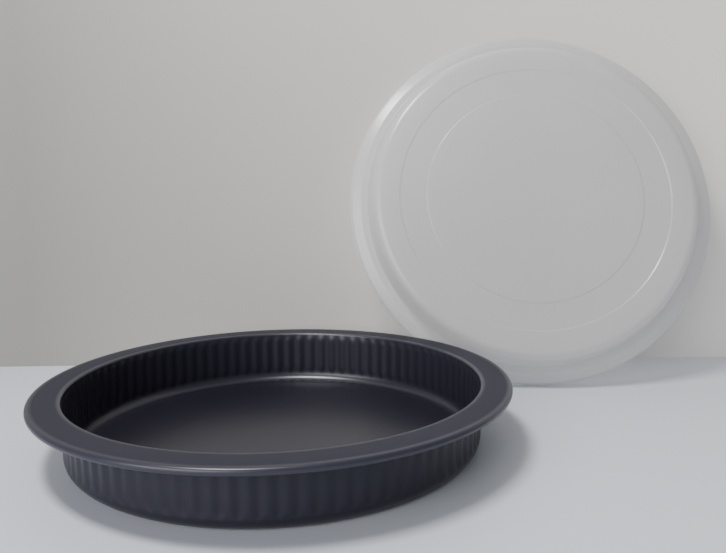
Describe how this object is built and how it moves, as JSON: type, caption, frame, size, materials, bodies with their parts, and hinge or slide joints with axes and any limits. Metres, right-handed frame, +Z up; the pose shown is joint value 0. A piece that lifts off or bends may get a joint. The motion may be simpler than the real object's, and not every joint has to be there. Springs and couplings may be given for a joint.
{
  "type": "tart pan",
  "caption": "Round fluted tart pan with a flat flange and wire-filled rolled rim, and a low domed lid leaning behind it that lifts away.",
  "frame": {"origin": "centre of the pan's base, on the surface the pan stands on", "axes": "+Z up along the pan's axis, +X to the right and +Y away from the viewer, towards the lid that leans behind the pan"},
  "size_m": [0.5396, 0.3607, 0.3154],
  "materials": {
    "coated_steel": "satin dark grey non-stick coating",
    "wire_steel": "plain drawn wire, hidden in the rim",
    "lid_plastic": "milky translucent, satin"
  },
  "bodies": {
    "pan": {"pan_shell": "coated_steel", "rim_wire": "wire_steel"},
    "lid": {"lid": "lid_plastic"}
  },
  "joints": [
    {"name": "lid_lift", "type": "slide", "parent": "pan", "child": "lid", "axis": [0, 0, 1], "range_m": [0, 0.2]}
  ]
}
